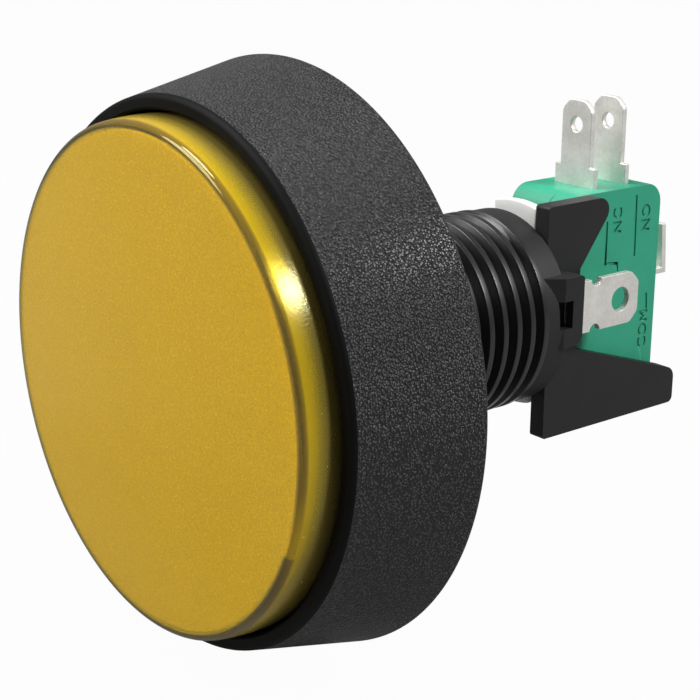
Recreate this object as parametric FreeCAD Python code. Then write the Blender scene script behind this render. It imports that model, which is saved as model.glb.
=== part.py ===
import FreeCAD, Part
import math
import os

# Illuminated push button switch, in millimetres.
# The button's axis is Y: the lens faces -Y, the stem and the switch run to +Y, and +Z is up.
# The origin is the centre of the face that seats on the panel.

# Housing: flange, cup and stem
flange_rear_dia = 65.0
flange_front_dia = 58.6
flange_depth = 14.4
front_edge_round = 0.9
rear_edge_round = 0.5
cup_dia = 55.6
cup_floor = 2.6
stem_dia = 24.0
stem_length = 28.6
stem_root_dia = 24.1
stem_root_land = 0.5
stem_end_dia = 23.6
stem_end_land = 0.55
stem_end_chamfer = 0.3
guide_bore_dia = 18.0
guide_boss_dia = 22.4
guide_boss_height = 2.4
stop_depth = 10.0
socket_bore_dia = 19.2

# Thread of the stem, as a row of ridges at its pitch
thread_pitch = 2.13
thread_depth = 1.1
thread_crest = 0.35
thread_base = 1.85
thread_start = 1.53

# Button travel and running clearances
travel = 2.8
slide_clearance = 0.06
fit_clearance = 0.05
loose_clearance = 0.3

# Lens cap and diffuser
lens_gap = 0.35
lens_proud = 4.0
lens_face_dia = 54.2
lens_face_wall = 0.8
lens_skirt_wall = 0.95
lens_edge_round = 0.5
lens_skirt_length = 10.4
lens_lip_reach = 0.4
lens_lip_height = 0.8
diffuser_thickness = 1.0
diffuser_gap = 0.3

# Plunger that carries the lens
carrier_thickness = 1.6
carrier_ring_height = 4.0
carrier_ring_wall = 1.6
sleeve_wall = 1.5
leg_width = 6.0
leg_tip_width = 4.4
hook_reach = 0.3
hook_length = 2.0

# Return spring
spring_wire = 1.0
spring_dia = 24.6
spring_half_coils = 7
spring_seat_gap = 0.1

# Actuator bar
bar_gap = 1.7
bar_thickness = 1.3
bar_width = 7.0
bar_length = 25.3

# Lamp holder: collar, spigot, socket and terminal bosses
collar_dia = 23.6
collar_thickness = 3.8
collar_edge = 0.4
spigot_length = 6.6
lamp_socket_dia = 13.8
lamp_socket_length = 14.6
boss_reach = 11.9
boss_height = 8.4
boss_lift = 0.25
boss_inset = 1.3
boss_rear = 1.8
boss_edge = 0.5
boss_low_edge = 1.3
boss_ramp_length = 2.2
boss_ramp_rise = 1.7
window_inset = 0.92
window_length = 1.95
window_height = 3.3

# Lamp
bulb_dia = 9.8
bulb_length = 17.0
wedge_width = 9.4
wedge_thickness = 2.4
wedge_length = 11.0
wedge_clearance = 0.2
lead_wire = 0.4
lead_length = 7.0

# Lamp terminals
lamp_tab_x = 10.3
lamp_tab_z = 1.4
lamp_tab_width = 6.35
lamp_tab_thickness = 0.8
lamp_tab_length = 10.7
lamp_tab_hole_dia = 3.0
lamp_tab_hole_inset = 3.1
lamp_tab_clip = 1.3
lamp_tab_corner = 1.0
lamp_lock_margin = 0.6
lamp_neck_dia = 1.7
lamp_neck_start = 3.35
lamp_leaf_width = 4.0
lamp_leaf_x = 7.4
lamp_leaf_length = 11.2
lamp_finger_rise = 3.4

# Snap switch
switch_length = 28.0
switch_depth = 16.0
switch_thickness = 10.3
switch_drop = 0.75
press_clearance = 0.3
switch_corner = 2.6
switch_wall = 1.3
switch_side_wall = 1.2
cover_thickness = 4.0
mount_hole_dia = 3.1
mount_hole_pitch_long = 22.2
mount_hole_pitch_short = 10.3
mount_boss_wall = 0.75

# Switch plate of the lamp holder
plate_thickness = 2.2
plate_switch_gap = 0.1
plate_waist_rear = 5.7
plate_waist_top = 5.05
plate_waist_bottom = -5.05
upper_wing_margin = 2.8
lower_wing_margin_rear = 1.95
lower_wing_margin_bottom = 0.75
lower_wing_slope = 0.325
lower_wing_setback = 0.5
wing_corner = 1.6
plate_corner = 0.4
peg_tail = 0.5

# Switch plunger
pin_dia = 3.6
pin_rest_gap = 1.1
pin_flange_dia = 5.6
pin_flange_thickness = 1.2
pin_inner_dia = 2.8

# Switch terminals and contacts
tab_thickness = 0.75
tab_width = 4.85
tab_shoulder_width = 6.6
tab_shoulder_height = 2.4
tab_height = 10.5
tab_tip_clip = 1.2
tab_tip_round = 1.2
tab_hole_dia = 1.9
tab_hole_inset = 3.0
nc_tab_y = 5.6
tab_pitch = 5.55
tab_inner_width = 5.0
tab_inner_length = 6.6
contact_dia = 3.0
contact_height = 0.7
contact_z = 8.2
contact_gap = 1.1
contact_touch = 0.05
blade_thickness = 0.3
blade_width = 5.0
blade_pivot_z = -7.6
blade_roll_dia = 1.0
blade_end = 1.3
blade_seat_gap = 0.1
blade_swing_deg = 3.4
rivet_dia = 1.5
moving_contact_height = 0.95
common_z = 0.6
common_reach = 4.7
common_rise = 6.2
common_lean = 0.5
common_width = 4.85
common_inner_gap = 0.5

V = FreeCAD.Vector
ORIGIN = V(0, 0, 0)
AXIS = V(0, 1, 0)

# Stations along the axis
cup_floor_y = -cup_floor
rim_y = -flange_depth
lens_front_y = rim_y - lens_proud
lens_inner_y = lens_front_y + lens_face_wall
diffuser_rear_y = lens_inner_y + diffuser_thickness
carrier_front_y = diffuser_rear_y + carrier_ring_height
carrier_rear_y = carrier_front_y + carrier_thickness
collar_front_y = stem_length
collar_rear_y = collar_front_y + collar_thickness
bar_front_y = collar_rear_y + bar_gap
bar_rear_y = bar_front_y + bar_thickness
switch_front_y = bar_rear_y + travel + press_clearance
switch_back_y = switch_front_y + switch_depth
pin_tip_y = bar_rear_y + pin_rest_gap
pin_travel = travel - pin_rest_gap + contact_touch
nc_front_y = switch_front_y + nc_tab_y
no_front_y = nc_front_y + tab_pitch

# Radii that more than one piece uses
cup_r = cup_dia / 2
lens_r = cup_r - lens_gap
lens_inner_r = lens_r - lens_skirt_wall
sleeve_r = guide_bore_dia / 2 - slide_clearance
sleeve_inner_r = sleeve_r - sleeve_wall

# Switch extents
switch_x1 = switch_thickness / 2
switch_x0 = -switch_x1
switch_seam_x = switch_x1 - cover_thickness
switch_mid_z = -switch_drop
switch_top_z = switch_mid_z + switch_length / 2
switch_bottom_z = switch_mid_z - switch_length / 2
switch_mid_y = (switch_front_y + switch_back_y) / 2
MOUNT_HOLES = [
    (switch_mid_y - mount_hole_pitch_short / 2, switch_mid_z + mount_hole_pitch_long / 2),
    (switch_mid_y + mount_hole_pitch_short / 2, switch_mid_z - mount_hole_pitch_long / 2),
]

# Lines of the blade and its contacts
nc_contact_y = nc_front_y + tab_thickness + contact_height
moving_front_y = nc_contact_y + contact_touch
blade_front_y = moving_front_y + moving_contact_height
blade_rear_y = blade_front_y + blade_thickness
blade_mid_y = blade_front_y + blade_thickness / 2
no_contact_height = no_front_y - (blade_rear_y + moving_contact_height + contact_gap)


def block(x0, x1, y0, y1, z0, z1):
    return Part.makeBox(x1 - x0, y1 - y0, z1 - z0, V(x0, y0, z0))


def rod(dia, y0, y1, x=0.0, z=0.0):
    """A round bar along the button's axis."""
    return Part.makeCylinder(dia / 2, y1 - y0, V(x, y0, z), AXIS)


def cross_rod(dia, x0, x1, y, z):
    """A round bar along X."""
    return Part.makeCylinder(dia / 2, x1 - x0, V(x0, y, z), V(1, 0, 0))


def turned(profile):
    """A solid turned about the button's axis from (radius, y) corners."""
    corners = [V(r, y, 0) for r, y in profile]
    face = Part.Face(Part.makePolygon(corners + corners[:1]))
    return face.revolve(ORIGIN, AXIS, 360)


def ring_edges(shape, radius, y):
    """The full circles of one radius at one station."""
    found = []
    for edge in shape.Edges:
        curve = edge.Curve
        if isinstance(curve, Part.Circle) and abs(curve.Radius - radius) < 1e-4:
            if abs(curve.Center.y - y) < 1e-4:
                found.append(edge)
    return found


def rounded_face(corners):
    """A flat face from (point, radius) corners, each rounded by its own radius."""
    edges = []
    ends = []
    count = len(corners)
    for i in range(count):
        point, radius = corners[i]
        before = corners[i - 1][0].sub(point).normalize()
        after = corners[(i + 1) % count][0].sub(point).normalize()
        if radius <= 0:
            ends.append((point, point))
            continue
        half = before.getAngle(after) / 2
        reach = radius / math.tan(half)
        start = point.add(V(before).multiply(reach))
        stop = point.add(V(after).multiply(reach))
        inward = before.add(after).normalize()
        middle = point.add(inward.multiply(radius / math.sin(half) - radius))
        edges.append(Part.Arc(start, middle, stop).toShape())
        ends.append((start, stop))
    for i in range(count):
        a = ends[i][1]
        b = ends[(i + 1) % count][0]
        if a.distanceToPoint(b) > 1e-6:
            edges.append(Part.makeLine(a, b))
    return Part.Face(Part.Wire(Part.__sortEdges__(edges)))


def side_plate(corners, x0, x1):
    """A plate across X from (y, z, radius) corners."""
    face = rounded_face([(V(x0, y, z), r) for y, z, r in corners])
    return face.extrude(V(x1 - x0, 0, 0))


def front_plate(corners, y0, y1):
    """A plate across Y from (x, z, radius) corners."""
    face = rounded_face([(V(x, y0, z), r) for x, z, r in corners])
    return face.extrude(V(0, y1 - y0, 0))


def folded_strip(path, thickness):
    """The outline of sheet metal folded along a path of plane points, mitred at each fold."""
    left = []
    right = []
    count = len(path)
    for i in range(count):
        ahead = path[min(i + 1, count - 1)].sub(path[min(i, count - 2)]).normalize()
        back = path[max(i, 1)].sub(path[max(i - 1, 0)]).normalize()
        mean = ahead.add(back).normalize()
        side = V(-mean.y, mean.x, 0)
        offset = thickness / 2 / mean.dot(ahead)
        left.append(path[i].add(V(side).multiply(offset)))
        right.append(path[i].sub(V(side).multiply(offset)))
    return left + right[::-1]


def strip_in_xy(path, thickness, z0, z1):
    """Folded sheet metal whose folds show from above."""
    outline = folded_strip([V(x, y, 0) for x, y in path], thickness)
    corners = [V(p.x, p.y, z0) for p in outline]
    face = Part.Face(Part.makePolygon(corners + corners[:1]))
    return face.extrude(V(0, 0, z1 - z0))


def strip_in_yz(path, thickness, x0, x1):
    """Folded sheet metal whose folds show from the side."""
    outline = folded_strip([V(y, z, 0) for y, z in path], thickness)
    corners = [V(x0, p.x, p.y) for p in outline]
    face = Part.Face(Part.makePolygon(corners + corners[:1]))
    return face.extrude(V(x1 - x0, 0, 0))


def half_turn(shape):
    """The same shape turned half round the button's axis."""
    turned_copy = shape.copy()
    turned_copy.rotate(ORIGIN, AXIS, 180)
    return turned_copy


def stem_side():
    """The stem as (radius, y) corners: a plain root, a ridge at each turn of the thread, a plain end."""
    seat_r = stem_root_dia / 2
    crest_r = stem_dia / 2
    root_r = crest_r - thread_depth
    land_r = stem_end_dia / 2
    land_y = stem_length - stem_end_land
    turns = int((land_y - thread_base / 2 - thread_start) / thread_pitch) + 1
    corners = [(seat_r, 0), (seat_r, stem_root_land), (root_r, stem_root_land)]
    for i in range(turns):
        y = thread_start + thread_pitch * i
        corners += [
            (root_r, y - thread_base / 2), (crest_r, y - thread_crest / 2),
            (crest_r, y + thread_crest / 2), (root_r, y + thread_base / 2),
        ]
    return corners + [
        (root_r, land_y), (land_r, land_y), (land_r, stem_length - stem_end_chamfer),
        (land_r - stem_end_chamfer, stem_length),
    ]


def make_housing():
    rear_r = flange_rear_dia / 2
    front_r = flange_front_dia / 2
    guide_r = guide_bore_dia / 2
    socket_r = socket_bore_dia / 2
    boss_r = guide_boss_dia / 2
    boss_y = cup_floor_y - guide_boss_height
    body = turned([
        (guide_r, boss_y), (boss_r, boss_y), (boss_r, cup_floor_y), (cup_r, cup_floor_y),
        (cup_r, rim_y), (front_r, rim_y), (rear_r, 0),
    ] + stem_side() + [
        (socket_r, stem_length), (socket_r, stop_depth), (guide_r, stop_depth),
    ])
    body = body.makeFillet(front_edge_round, ring_edges(body, front_r, rim_y))
    return body.makeFillet(rear_edge_round, ring_edges(body, rear_r, 0))


def make_lens_cap():
    skirt_y = lens_front_y + lens_skirt_length
    lip_y = carrier_rear_y + lens_lip_height
    lip_r = lens_inner_r - lens_lip_reach
    face_r = lens_face_dia / 2
    cap = turned([
        (0, lens_front_y), (face_r, lens_front_y), (lens_r, rim_y), (lens_r, skirt_y),
        (lens_inner_r, skirt_y), (lens_inner_r, lip_y + lens_lip_reach), (lip_r, lip_y),
        (lip_r, carrier_rear_y), (lens_inner_r, carrier_rear_y), (lens_inner_r, lens_inner_y),
        (0, lens_inner_y),
    ])
    return cap.makeFillet(lens_edge_round, ring_edges(cap, face_r, lens_front_y))


def make_diffuser():
    return rod(2 * (lens_inner_r - diffuser_gap), lens_inner_y, diffuser_rear_y)


def make_plunger():
    plate_r = lens_inner_r - fit_clearance
    ring_r = plate_r - carrier_ring_wall
    sleeve_rear_y = stop_depth + hook_length
    plunger = turned([
        (sleeve_inner_r, carrier_front_y), (ring_r, carrier_front_y), (ring_r, diffuser_rear_y),
        (plate_r, diffuser_rear_y), (plate_r, carrier_rear_y), (sleeve_r, carrier_rear_y),
        (sleeve_r, sleeve_rear_y), (sleeve_inner_r, sleeve_rear_y),
    ])
    tube = rod(2 * sleeve_r, sleeve_rear_y - 1, bar_rear_y)
    tube = tube.cut(rod(2 * sleeve_inner_r, sleeve_rear_y - 2, bar_rear_y + 1))
    legs = tube.common(block(-leg_width / 2, leg_width / 2, 0, bar_front_y, -sleeve_r, sleeve_r))
    tips = tube.common(block(-leg_tip_width / 2, leg_tip_width / 2, 0, bar_rear_y, -sleeve_r, sleeve_r))
    hook_r = sleeve_r + hook_reach
    hooks = turned([
        (sleeve_inner_r, stop_depth), (hook_r, stop_depth), (hook_r, stop_depth + hook_length / 2),
        (sleeve_r, stop_depth + hook_length), (sleeve_inner_r, stop_depth + hook_length),
    ])
    hooks = hooks.common(block(-leg_width / 2, leg_width / 2, 0, bar_front_y, -hook_r, hook_r))
    return plunger.fuse([legs, tips, hooks]).removeSplitter()


def make_return_spring():
    """Half rings, each tilted by its own rise, so that each runs smoothly into the next."""
    start_y = cup_floor_y - spring_wire / 2 - spring_seat_gap
    end_y = carrier_rear_y + spring_wire / 2 + spring_seat_gap
    rise = (end_y - start_y) / spring_half_coils
    tilt = math.atan2(rise, spring_dia)
    turns = []
    for i in range(spring_half_coils):
        side = 1 if i % 2 == 0 else -1
        y = start_y + rise * i
        circle = Part.makeCircle(spring_wire / 2, V(side * spring_dia / 2, y, 0), V(0, 0, 1))
        axis = V(side * math.sin(tilt), math.cos(tilt), 0)
        turns.append(Part.Face(Part.Wire(circle)).revolve(V(0, y + rise / 2, 0), axis, 180))
    return turns[0].fuse(turns[1:]).removeSplitter().Solids[0]


def make_actuator_bar():
    half = bar_width / 2
    bar = rod(bar_length, bar_front_y, bar_rear_y)
    bar = bar.common(block(-half, half, bar_front_y, bar_rear_y, -bar_length, bar_length))
    slot_half = leg_tip_width / 2 + fit_clearance
    slots = rod(2 * (sleeve_r + fit_clearance), bar_front_y, bar_rear_y)
    slots = slots.cut(rod(2 * (sleeve_inner_r - fit_clearance), bar_front_y, bar_rear_y))
    slots = slots.common(block(-slot_half, slot_half, bar_front_y, bar_rear_y, -bar_length, bar_length))
    return bar.cut(slots)


def plate_outline():
    """Switch plate with an upper and a lower wing, as (y, z, radius) corners."""
    (upper_y, upper_z), (lower_y, lower_z) = MOUNT_HOLES
    waist_y = collar_rear_y + plate_waist_rear
    wing_y = upper_y + upper_wing_margin
    tail_y = switch_back_y + lower_wing_margin_rear
    floor_z = switch_bottom_z - lower_wing_margin_bottom
    tail_z = plate_waist_bottom - lower_wing_slope * (tail_y - waist_y)
    foot_y = collar_rear_y + lower_wing_setback
    return [
        (collar_rear_y, switch_top_z, plate_corner), (wing_y, switch_top_z, wing_corner),
        (waist_y, plate_waist_top, 0), (waist_y, plate_waist_bottom, 0),
        (tail_y, tail_z, wing_corner), (tail_y, floor_z, plate_corner * 2),
        (foot_y, floor_z, plate_corner), (foot_y, plate_waist_bottom, 0),
        (collar_rear_y, plate_waist_bottom, 0),
    ]


def terminal_slot():
    """Room for one lamp terminal through the spigot, the collar and the boss."""
    half_tab = lamp_tab_width / 2 + fit_clearance
    half_leaf = lamp_leaf_width / 2 + fit_clearance
    thick = lamp_tab_thickness / 2 + fit_clearance
    x_leaf = lamp_leaf_x - thick
    x_tab = lamp_tab_x + thick
    floor_y = collar_front_y + lamp_tab_thickness + 3 * fit_clearance
    boss_y = collar_rear_y + boss_rear
    z = lamp_tab_z
    blade = block(lamp_tab_x - thick, x_tab, collar_front_y, boss_y, z - half_tab, z + half_tab)
    jog = block(x_leaf, x_tab, collar_front_y, floor_y, z - half_tab, z + half_tab)
    leaf = block(x_leaf, socket_bore_dia, collar_front_y - spigot_length, collar_front_y,
                 z - half_leaf, z + half_leaf)
    finger_y = collar_front_y - lamp_leaf_length - lamp_tab_thickness
    finger = block(wedge_thickness / 2, x_leaf + 1, finger_y, finger_y + 2 * lamp_finger_rise,
                   z - half_leaf, z + half_leaf)
    return blade.fuse([jog, leaf, finger])


def lock_window(x0, x1, margin):
    """Block through the boss where a lamp terminal locks, wider by a margin."""
    y = collar_rear_y - window_inset
    half_y = window_length / 2 + margin
    half_z = window_height / 2 + margin
    return block(x0, x1, y - half_y, y + half_y, lamp_tab_z - half_z, lamp_tab_z + half_z)


def make_boss(x0):
    """Terminal boss beside the collar, with a front that ramps up from it."""
    y0 = collar_rear_y - boss_inset
    y1 = collar_rear_y + boss_rear
    ramp_y = y0 - boss_ramp_length
    z0 = lamp_tab_z + boss_lift - boss_height / 2
    z1 = z0 + boss_height
    boss = side_plate([
        (ramp_y, z0, 0), (y1, z0, boss_low_edge), (y1, z1, boss_edge), (ramp_y, z1, 0),
    ], x0, boss_reach)
    ramp = [V(boss_reach - boss_ramp_rise, ramp_y, z0), V(boss_reach, ramp_y, z0), V(boss_reach, y0, z0)]
    ramp = Part.Face(Part.makePolygon(ramp + ramp[:1])).extrude(V(0, 0, boss_height))
    return boss.cut(ramp)


def make_lamp_holder():
    collar = rod(collar_dia, collar_front_y, collar_rear_y)
    rims = ring_edges(collar, collar_dia / 2, collar_rear_y)
    collar = collar.makeChamfer(collar_edge, rims)
    spigot = rod(socket_bore_dia - 2 * fit_clearance, collar_front_y - spigot_length, collar_front_y)
    socket = rod(lamp_socket_dia, collar_front_y - lamp_socket_length, collar_front_y)
    half = leg_width / 2 + loose_clearance
    slot_inner = sleeve_inner_r - loose_clearance
    slot_outer = sleeve_r + loose_clearance
    leg_slots = rod(2 * slot_outer, collar_front_y, collar_rear_y)
    leg_slots = leg_slots.cut(rod(2 * slot_inner, collar_front_y, collar_rear_y))
    leg_slots = leg_slots.common(block(-half, half, 0, collar_rear_y, -slot_outer, slot_outer))
    leg_gap = block(-half, half, 0, collar_front_y, -socket_bore_dia, socket_bore_dia)
    leg_gap = leg_gap.cut(rod(2 * slot_inner, 0, collar_front_y))
    spigot = spigot.cut(leg_gap)

    plate_x0 = switch_x1 + plate_switch_gap
    plate_x1 = plate_x0 + plate_thickness
    boss = make_boss(plate_x0)
    window = lock_window(lamp_tab_x - lamp_tab_thickness / 2 - fit_clearance, boss_reach, 0)

    plate = side_plate(plate_outline(), plate_x0, plate_x1)
    peg_dia = mount_hole_dia - 2 * fit_clearance
    pegs = [cross_rod(peg_dia, switch_x0 - peg_tail, plate_x1 - plate_thickness / 2, y, z)
            for y, z in MOUNT_HOLES]
    holder = collar.fuse([spigot, socket, boss, half_turn(boss), plate] + pegs)

    wedge_y1 = collar_front_y - lamp_socket_length + wedge_length + lead_wire + wedge_clearance
    wedge_half_z = wedge_width / 2 + wedge_clearance
    wedge_half_x = wedge_thickness / 2 + lead_wire + lamp_tab_thickness
    cavity = block(-wedge_half_x, wedge_half_x, collar_front_y - lamp_socket_length, wedge_y1,
                   -wedge_half_z, wedge_half_z)
    slot = terminal_slot()
    cuts = [cavity, leg_slots, slot, half_turn(slot), window, half_turn(window)]
    return holder.cut(cuts).removeSplitter()


def lamp_tab_face(x0, x1):
    """Flat outline of a lamp terminal: leaf, body with a lock hole, neck, tab with its corners and hole."""
    boss_y = collar_rear_y + boss_rear
    neck_y = boss_y + lamp_neck_start
    tip_y = boss_y + lamp_tab_length
    clip_y = tip_y - lamp_tab_clip
    half = lamp_tab_width / 2
    clipped = half - lamp_tab_clip
    z = lamp_tab_z
    r = lamp_tab_corner
    body = side_plate([
        (collar_front_y, z - half, 0), (clip_y, z - half, r), (tip_y, z - clipped, r),
        (tip_y, z + clipped, r), (clip_y, z + half, r), (collar_front_y, z + half, 0),
    ], x0, x1)
    notches = [cross_rod(lamp_neck_dia, x0, x1, neck_y, edge_z) for edge_z in (z - half, z + half)]
    hole = cross_rod(lamp_tab_hole_dia, x0, x1, tip_y - lamp_tab_hole_inset, z)
    lock = lock_window(x0, x1, lamp_lock_margin)
    leaf = block(x0, x1, 0, collar_front_y, z - lamp_leaf_width / 2, z + lamp_leaf_width / 2)
    return body.cut(notches + [hole, lock]).fuse(leaf)


def make_lamp_terminal():
    """Near terminal: finger on the lamp's lead, leaf beside the socket, jog under the stem's end, tab."""
    tip_y = collar_rear_y + boss_rear + lamp_tab_length
    jog_y = collar_front_y + 2 * fit_clearance + lamp_tab_thickness / 2
    leaf_y = collar_front_y - lamp_leaf_length
    touch_x = wedge_thickness / 2 + lead_wire + 2 * fit_clearance + lamp_tab_thickness / 2
    path = [
        (touch_x, leaf_y + lamp_finger_rise), (lamp_leaf_x, leaf_y), (lamp_leaf_x, jog_y),
        (lamp_tab_x, jog_y), (lamp_tab_x, tip_y),
    ]
    z0 = lamp_tab_z - lamp_tab_width / 2
    strip = strip_in_xy(path, lamp_tab_thickness, z0, z0 + lamp_tab_width)
    return strip.common(lamp_tab_face(0, boss_reach)).removeSplitter()


def make_lamp_bulb():
    shoulder_y = collar_front_y - lamp_socket_length
    front_y = shoulder_y - bulb_length
    r = bulb_dia / 2
    envelope = turned([
        (0, front_y), (r, front_y), (r, shoulder_y), (0, shoulder_y),
    ])
    envelope = envelope.makeFillet(r * 0.96, ring_edges(envelope, r, front_y))
    envelope = envelope.makeFillet(r * 0.2, ring_edges(envelope, r, shoulder_y))
    half_x = wedge_thickness / 2
    half_z = wedge_width / 2
    wedge = block(-half_x, half_x, shoulder_y - half_x, shoulder_y + wedge_length, -half_z, half_z)
    return envelope.fuse(wedge).removeSplitter()


def make_lamp_leads():
    end_y = collar_front_y - lamp_socket_length + wedge_length
    face_x = wedge_thickness / 2 + lead_wire / 2
    path = [(face_x, end_y - lead_length), (face_x, end_y + lead_wire / 2), (0, end_y + lead_wire / 2)]
    lead = strip_in_xy(path, lead_wire, lamp_tab_z - lead_wire / 2, lamp_tab_z + lead_wire / 2)
    return Part.makeCompound([lead, half_turn(lead)])


def switch_block(x0, x1):
    r = switch_corner
    return side_plate([
        (switch_front_y, switch_bottom_z, r), (switch_back_y, switch_bottom_z, r),
        (switch_back_y, switch_top_z, r), (switch_front_y, switch_top_z, r),
    ], x0, x1)


def switch_cavity():
    """Room inside the switch, less the two columns round its mounting holes."""
    wall = switch_wall
    room = block(switch_x0 + switch_side_wall, switch_x1 - switch_side_wall, switch_front_y + wall,
                 switch_back_y - wall, switch_bottom_z + wall, switch_top_z - wall)
    column = mount_hole_dia + 2 * mount_boss_wall
    return room.cut([cross_rod(column, switch_x0, switch_x1, y, z) for y, z in MOUNT_HOLES])


def switch_openings():
    """Holes and slots that both halves of the switch share."""
    gap = fit_clearance
    cuts = [cross_rod(mount_hole_dia, switch_x0, switch_x1, y, z) for y, z in MOUNT_HOLES]
    cuts.append(rod(pin_dia + 2 * gap, switch_front_y, switch_front_y + switch_wall))
    half = tab_shoulder_width / 2 + gap
    for y in (nc_front_y, no_front_y):
        cuts.append(block(-half, half, y - gap, y + tab_thickness + gap,
                          switch_top_z - switch_wall, switch_top_z))
    half = common_width / 2 + gap
    low = common_z - tab_thickness / 2 - gap
    cuts.append(block(-half, half, switch_back_y - switch_wall, switch_back_y,
                      low, low + tab_thickness + 2 * gap))
    return cuts


def make_switch_case():
    return switch_block(switch_x0, switch_seam_x).cut([switch_cavity()] + switch_openings())


def make_switch_cover():
    return switch_block(switch_seam_x, switch_x1).cut([switch_cavity()] + switch_openings())


def make_switch_terminal(front_y):
    """Upright tab with shoulders, a clipped tip, a hole and a narrower tongue inside the switch."""
    tip_z = switch_top_z + tab_height
    shoulder_z = switch_top_z + tab_shoulder_height
    half = tab_width / 2
    shoulder = tab_shoulder_width / 2
    inner = tab_inner_width / 2
    inner_z = switch_top_z - switch_wall
    low_z = switch_top_z - tab_inner_length
    clip_z = tip_z - tab_tip_clip
    clipped = half - tab_tip_clip
    r = tab_tip_round
    blade = front_plate([
        (-inner, low_z, 0), (inner, low_z, 0), (inner, inner_z, 0), (shoulder, inner_z, 0),
        (shoulder, shoulder_z, 0), (half, shoulder_z, 0), (half, clip_z, r), (clipped, tip_z, r),
        (-clipped, tip_z, r), (-half, clip_z, r), (-half, shoulder_z, 0), (-shoulder, shoulder_z, 0),
        (-shoulder, inner_z, 0), (-inner, inner_z, 0),
    ], front_y, front_y + tab_thickness)
    hole = rod(tab_hole_dia, front_y, front_y + tab_thickness, 0, tip_z - tab_hole_inset)
    return blade.cut(hole)


def make_common_terminal():
    """Folded strip from the blade's pivot, along the back wall, out through it and up."""
    start_y = blade_mid_y + blade_roll_dia / 2 + blade_seat_gap
    wall_y = switch_back_y - switch_wall - common_inner_gap - tab_thickness / 2
    out_y = switch_back_y + common_reach
    path = [
        (start_y, blade_pivot_z), (wall_y, blade_pivot_z), (wall_y, common_z), (out_y, common_z),
        (out_y - common_lean, common_z + common_rise),
    ]
    return strip_in_yz(path, tab_thickness, -common_width / 2, common_width / 2)


def make_contact(y0, y1):
    return rod(contact_dia, y0, y1, 0, contact_z)


def make_switch_plunger():
    flange_y = switch_front_y + switch_wall + 2 * fit_clearance
    blade_move = (-blade_pivot_z - pin_inner_dia / 2) * math.sin(math.radians(blade_swing_deg))
    inner_y = blade_front_y + blade_move - pin_travel - contact_touch
    pin = turned([
        (0, pin_tip_y), (pin_dia / 2, pin_tip_y), (pin_dia / 2, flange_y),
        (pin_flange_dia / 2, flange_y), (pin_flange_dia / 2, flange_y + pin_flange_thickness),
        (pin_inner_dia / 2, flange_y + pin_flange_thickness), (pin_inner_dia / 2, inner_y), (0, inner_y),
    ])
    return pin.makeFillet(pin_dia / 5, ring_edges(pin, pin_dia / 2, pin_tip_y))


def make_moving_blade():
    """Spring strip with its lower end rolled round the axis that it swings about."""
    half = blade_width / 2
    strip = block(-half, half, blade_front_y, blade_rear_y, blade_pivot_z,
                  contact_z + contact_dia / 2 + blade_end)
    roll = cross_rod(blade_roll_dia, -half, half, blade_mid_y, blade_pivot_z)
    rivet_hole = rod(rivet_dia + 2 * fit_clearance, blade_front_y, blade_rear_y, 0, contact_z)
    return strip.fuse(roll).removeSplitter().cut(rivet_hole)


def make_moving_contact():
    front = make_contact(moving_front_y, blade_front_y)
    rear = make_contact(blade_rear_y, blade_rear_y + moving_contact_height)
    shank = rod(rivet_dia, blade_front_y, blade_rear_y, 0, contact_z)
    return front.fuse([shank, rear]).removeSplitter()


nodes = {
    "housing": make_housing(),
    "lens_cap": make_lens_cap(),
    "diffuser": make_diffuser(),
    "plunger": make_plunger(),
    "return_spring": make_return_spring(),
    "actuator_bar": make_actuator_bar(),
    "lamp_holder": make_lamp_holder(),
    "lamp_terminal_near": make_lamp_terminal(),
    "lamp_terminal_far": half_turn(make_lamp_terminal()),
    "lamp_bulb": make_lamp_bulb(),
    "lamp_leads": make_lamp_leads(),
    "switch_case": make_switch_case(),
    "switch_cover": make_switch_cover(),
    "normally_closed_terminal": make_switch_terminal(nc_front_y),
    "normally_open_terminal": make_switch_terminal(no_front_y),
    "common_terminal": make_common_terminal(),
    "normally_closed_contact": make_contact(nc_front_y + tab_thickness, nc_contact_y),
    "normally_open_contact": make_contact(no_front_y - no_contact_height, no_front_y),
    "switch_plunger": make_switch_plunger(),
    "moving_blade": make_moving_blade(),
    "moving_contact": make_moving_contact(),
}

os.makedirs("parts", exist_ok=True)
for name, shape in nodes.items():
    shape.exportStep("parts/" + name + ".step")
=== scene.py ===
import math

import bmesh
import bpy
from mathutils import Matrix, Vector


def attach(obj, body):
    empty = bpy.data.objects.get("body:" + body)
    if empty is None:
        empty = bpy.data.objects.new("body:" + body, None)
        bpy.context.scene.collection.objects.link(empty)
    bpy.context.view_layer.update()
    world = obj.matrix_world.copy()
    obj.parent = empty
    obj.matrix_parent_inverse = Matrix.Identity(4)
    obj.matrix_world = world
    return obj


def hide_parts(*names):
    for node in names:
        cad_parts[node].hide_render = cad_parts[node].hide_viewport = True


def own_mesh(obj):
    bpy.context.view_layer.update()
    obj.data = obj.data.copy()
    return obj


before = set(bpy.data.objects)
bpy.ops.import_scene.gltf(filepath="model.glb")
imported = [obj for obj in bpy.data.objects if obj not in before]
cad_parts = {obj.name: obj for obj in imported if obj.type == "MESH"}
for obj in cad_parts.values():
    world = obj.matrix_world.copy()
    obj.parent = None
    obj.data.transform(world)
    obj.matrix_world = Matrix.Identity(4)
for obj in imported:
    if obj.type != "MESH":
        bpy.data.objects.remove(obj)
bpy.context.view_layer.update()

# Illuminated push button switch: looks for its solids.
# Sizes are in millimetres and angles in degrees unless a comment says otherwise.
MM = 0.001

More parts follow.
